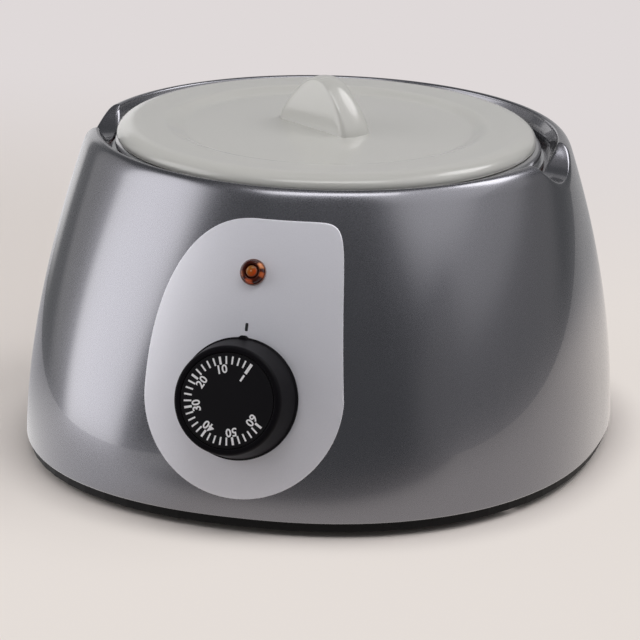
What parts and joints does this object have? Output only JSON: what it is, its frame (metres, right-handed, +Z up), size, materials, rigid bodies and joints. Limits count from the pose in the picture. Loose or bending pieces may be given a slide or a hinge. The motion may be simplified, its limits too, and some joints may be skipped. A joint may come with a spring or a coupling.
{
  "type": "chocolate melting tank",
  "caption": "Table-top chocolate melting tank: silver-grey flared oval casing, dial thermostat and lamp on a front panel, lift-out steel tank in a heated well, grey lid with pinch grip.",
  "frame": {"origin": "on the table under the axis of the tank, at the middle of the base", "axes": "+Z up along the tank axis, -Y towards the control panel, +X to the right seen from the front"},
  "size_m": [0.24, 0.3095, 0.1517],
  "materials": {
    "silver_shell": "metallic silver-grey gloss lacquer on a moulding",
    "lid_grey": "pale warm grey satin moulding",
    "label_grey": "printed satin film",
    "knob_black": "black satin moulding",
    "dial_black": "black printed disc",
    "black_plastic": "black fine-grained moulding",
    "rubber": "matt black rubber",
    "silicone": "red-brown silicone",
    "amber_lens": "amber translucent",
    "stainless": "spun stainless steel",
    "zinc_steel": "zinc-plated steel",
    "aluminium": "drawn sheet",
    "brass": "bright brass",
    "copper": "copper",
    "wool": "mineral-fibre blanket",
    "ceramic": "unglazed ceramic",
    "brown_wire": "brown wire sleeve",
    "blue_wire": "blue wire sleeve",
    "earth_wire": "green and yellow wire sleeve"
  },
  "bodies": {
    "casing": {"casing": "silver_shell", "base_plate": "black_plastic", "rubber_feet": "rubber", "base_screws": "zinc_steel", "front_label": "label_grey", "thermostat_body": "black_plastic", "thermostat_bracket": "zinc_steel", "thermostat_screws": "zinc_steel", "thermostat_terminals": "brass", "capillary_tube": "copper", "sensing_bulb": "copper", "bulb_clip": "stainless", "bulb_clip_screws": "zinc_steel", "lamp_lens": "amber_lens", "lamp_body": "black_plastic", "lamp_clip": "stainless", "lamp_terminals": "brass", "heating_well": "aluminium", "well_gasket": "silicone", "band_heater": "stainless", "heater_clamp_bolt": "zinc_steel", "heater_terminals": "brass", "insulation_jacket": "wool", "jacket_straps": "zinc_steel", "thermal_cutout": "black_plastic", "cutout_screws": "zinc_steel", "tie_stud": "zinc_steel", "tie_washer": "zinc_steel", "tie_nut": "zinc_steel", "cable_gland": "black_plastic", "gland_nut": "black_plastic", "gland_seal": "rubber", "gland_locknut": "black_plastic", "terminal_block": "ceramic", "terminal_screws": "brass", "terminal_block_screws": "zinc_steel", "earth_screw": "brass", "earth_tag": "brass", "live_wire": "brown_wire", "neutral_wire": "blue_wire", "heater_wires": "brown_wire", "lamp_wires": "blue_wire", "earth_wire": "earth_wire"},
    "tank": {"tank": "stainless"},
    "lid": {"lid": "lid_grey"},
    "knob": {"control_knob": "knob_black", "dial_face": "dial_black", "thermostat_shaft": "zinc_steel"}
  },
  "joints": [
    {"name": "tank_lift", "type": "slide", "parent": "casing", "child": "tank", "axis": [0, 0, 1], "range_m": [0, 0.11]},
    {"name": "lid_lift", "type": "slide", "parent": "tank", "child": "lid", "axis": [0, 0, 1], "range_m": [0, 0.06]},
    {"name": "knob_turn", "type": "hinge", "parent": "casing", "child": "knob", "pos_m": [0, -0.13062, 0.0535], "axis": [0, 0.9676, -0.2526], "range_deg": [-30, 238]}
  ]
}
